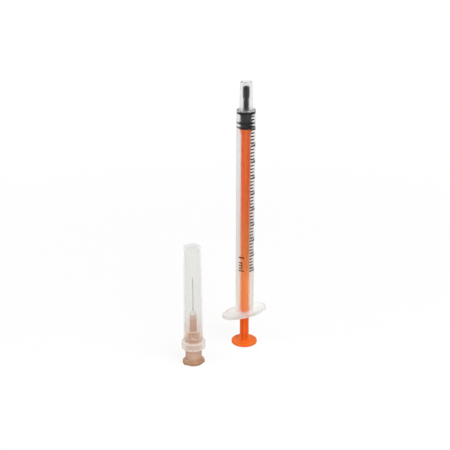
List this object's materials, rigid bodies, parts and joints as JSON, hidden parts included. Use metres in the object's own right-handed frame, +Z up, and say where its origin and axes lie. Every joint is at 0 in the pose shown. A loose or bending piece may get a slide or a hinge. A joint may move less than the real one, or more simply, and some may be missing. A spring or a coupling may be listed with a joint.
{
  "type": "insulin syringe",
  "caption": "Slim clear syringe with a ribbed orange plunger, a nosed rubber stopper and a tapered nozzle, with its loose hub needle under a clear sheath.",
  "frame": {"origin": "middle of the thumb rest's flat underside, on the barrel's axis", "axes": "+Z up the barrel towards the nozzle, +X to the right and -Y towards the viewer of the picture"},
  "size_m": [0.0306, 0.0259, 0.0975],
  "materials": {
    "plunger": "orange moulded polypropylene, satin",
    "stopper": "dark grey lubricated rubber",
    "clear_barrel": "clear polypropylene, slightly milky",
    "ink": "black printed ink",
    "hub": "translucent brown polypropylene",
    "steel": "drawn stainless steel tube",
    "resin": "pale cured bonding resin",
    "clear_sheath": "clear polypropylene, slightly milky"
  },
  "bodies": {
    "plunger": {"plunger_rod": "plunger", "stopper": "stopper"},
    "barrel": {"barrel": "clear_barrel", "short_lines": "ink", "long_lines": "ink"},
    "needle": {"needle_hub": "hub", "needle_cannula": "steel", "needle_bond": "resin"},
    "sheath": {"needle_sheath": "clear_sheath"}
  },
  "joints": [
    {"name": "plunger_draw", "type": "slide", "parent": "plunger", "child": "barrel", "axis": [0, 0, 1], "range_m": [0, 0.06]},
    {"name": "needle_lift", "type": "slide", "parent": "plunger", "child": "needle", "axis": [0, 0, 1], "range_m": [0, 0.1]},
    {"name": "sheath_pull", "type": "slide", "parent": "needle", "child": "sheath", "axis": [0, 0, 1], "range_m": [0, 0.032]}
  ]
}
